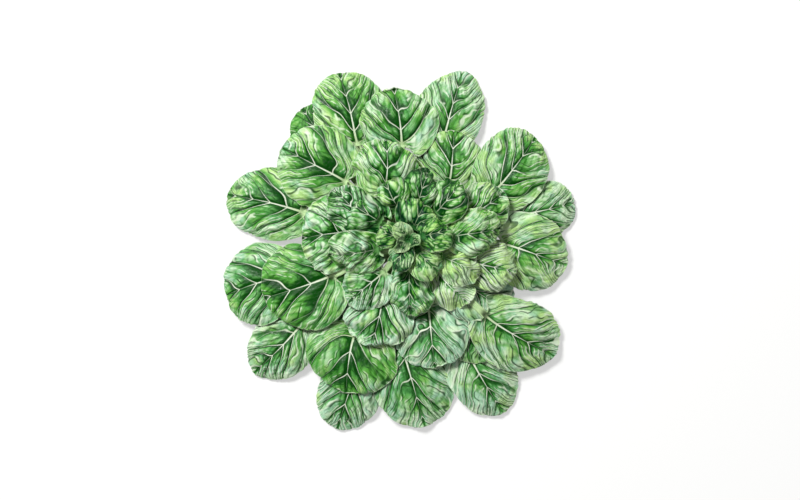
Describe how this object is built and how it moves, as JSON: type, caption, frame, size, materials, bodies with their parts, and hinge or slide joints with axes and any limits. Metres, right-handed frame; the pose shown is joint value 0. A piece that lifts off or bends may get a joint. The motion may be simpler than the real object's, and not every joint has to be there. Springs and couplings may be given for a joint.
{
  "type": "tatsoi",
  "caption": "Whole tatsoi cut at the base: a flat rosette of round, puckered, spoon-shaped green leaves on pale stalks round a short stem.",
  "frame": {"origin": "centre of the stem's cut face, on the surface that the plant rests on", "axes": "+Z up through the heart; +X to the right and +Y up as the rosette is seen from above"},
  "size_m": [0.2791, 0.2815, 0.053],
  "materials": {
    "outer_leaf": "fresh leaf, satin, puffed between sunken pale veins",
    "middle_leaf": "fresh leaf, satin, blistered",
    "inner_leaf": "young leaf, satin, finely crinkled",
    "heart_leaf": "youngest leaves, satin, crinkled and hooded",
    "stem": "pale green stem, fresh knife cut underneath"
  },
  "bodies": {
    "root": {"outer_leaf_01": "outer_leaf", "outer_leaf_02": "outer_leaf", "outer_leaf_03": "outer_leaf", "outer_leaf_04": "outer_leaf", "outer_leaf_05": "outer_leaf", "outer_leaf_06": "outer_leaf", "outer_leaf_07": "outer_leaf", "outer_leaf_08": "outer_leaf", "outer_leaf_09": "outer_leaf", "outer_leaf_10": "outer_leaf", "outer_leaf_11": "outer_leaf", "outer_leaf_12": "outer_leaf", "outer_leaf_13": "outer_leaf", "outer_leaf_14": "outer_leaf", "outer_leaf_15": "outer_leaf", "outer_leaf_16": "outer_leaf", "outer_leaf_17": "outer_leaf", "outer_leaf_18": "outer_leaf", "outer_leaf_19": "outer_leaf", "outer_leaf_20": "outer_leaf", "outer_leaf_21": "outer_leaf", "outer_leaf_22": "outer_leaf", "outer_leaf_23": "outer_leaf", "middle_leaf_01": "middle_leaf", "middle_leaf_02": "middle_leaf", "middle_leaf_03": "middle_leaf", "middle_leaf_04": "middle_leaf", "middle_leaf_05": "middle_leaf", "middle_leaf_06": "middle_leaf", "middle_leaf_07": "middle_leaf", "middle_leaf_08": "middle_leaf", "inner_leaf_01": "inner_leaf", "inner_leaf_02": "inner_leaf", "inner_leaf_03": "inner_leaf", "inner_leaf_04": "inner_leaf", "inner_leaf_05": "inner_leaf", "inner_leaf_06": "inner_leaf", "inner_leaf_07": "inner_leaf", "inner_leaf_08": "inner_leaf", "heart_leaf_01": "heart_leaf", "heart_leaf_02": "heart_leaf", "heart_leaf_03": "heart_leaf", "heart_leaf_04": "heart_leaf", "heart_leaf_05": "heart_leaf", "bud_leaf_01": "heart_leaf", "bud_leaf_02": "heart_leaf", "bud_leaf_03": "heart_leaf", "stem": "stem"}
  },
  "joints": []
}
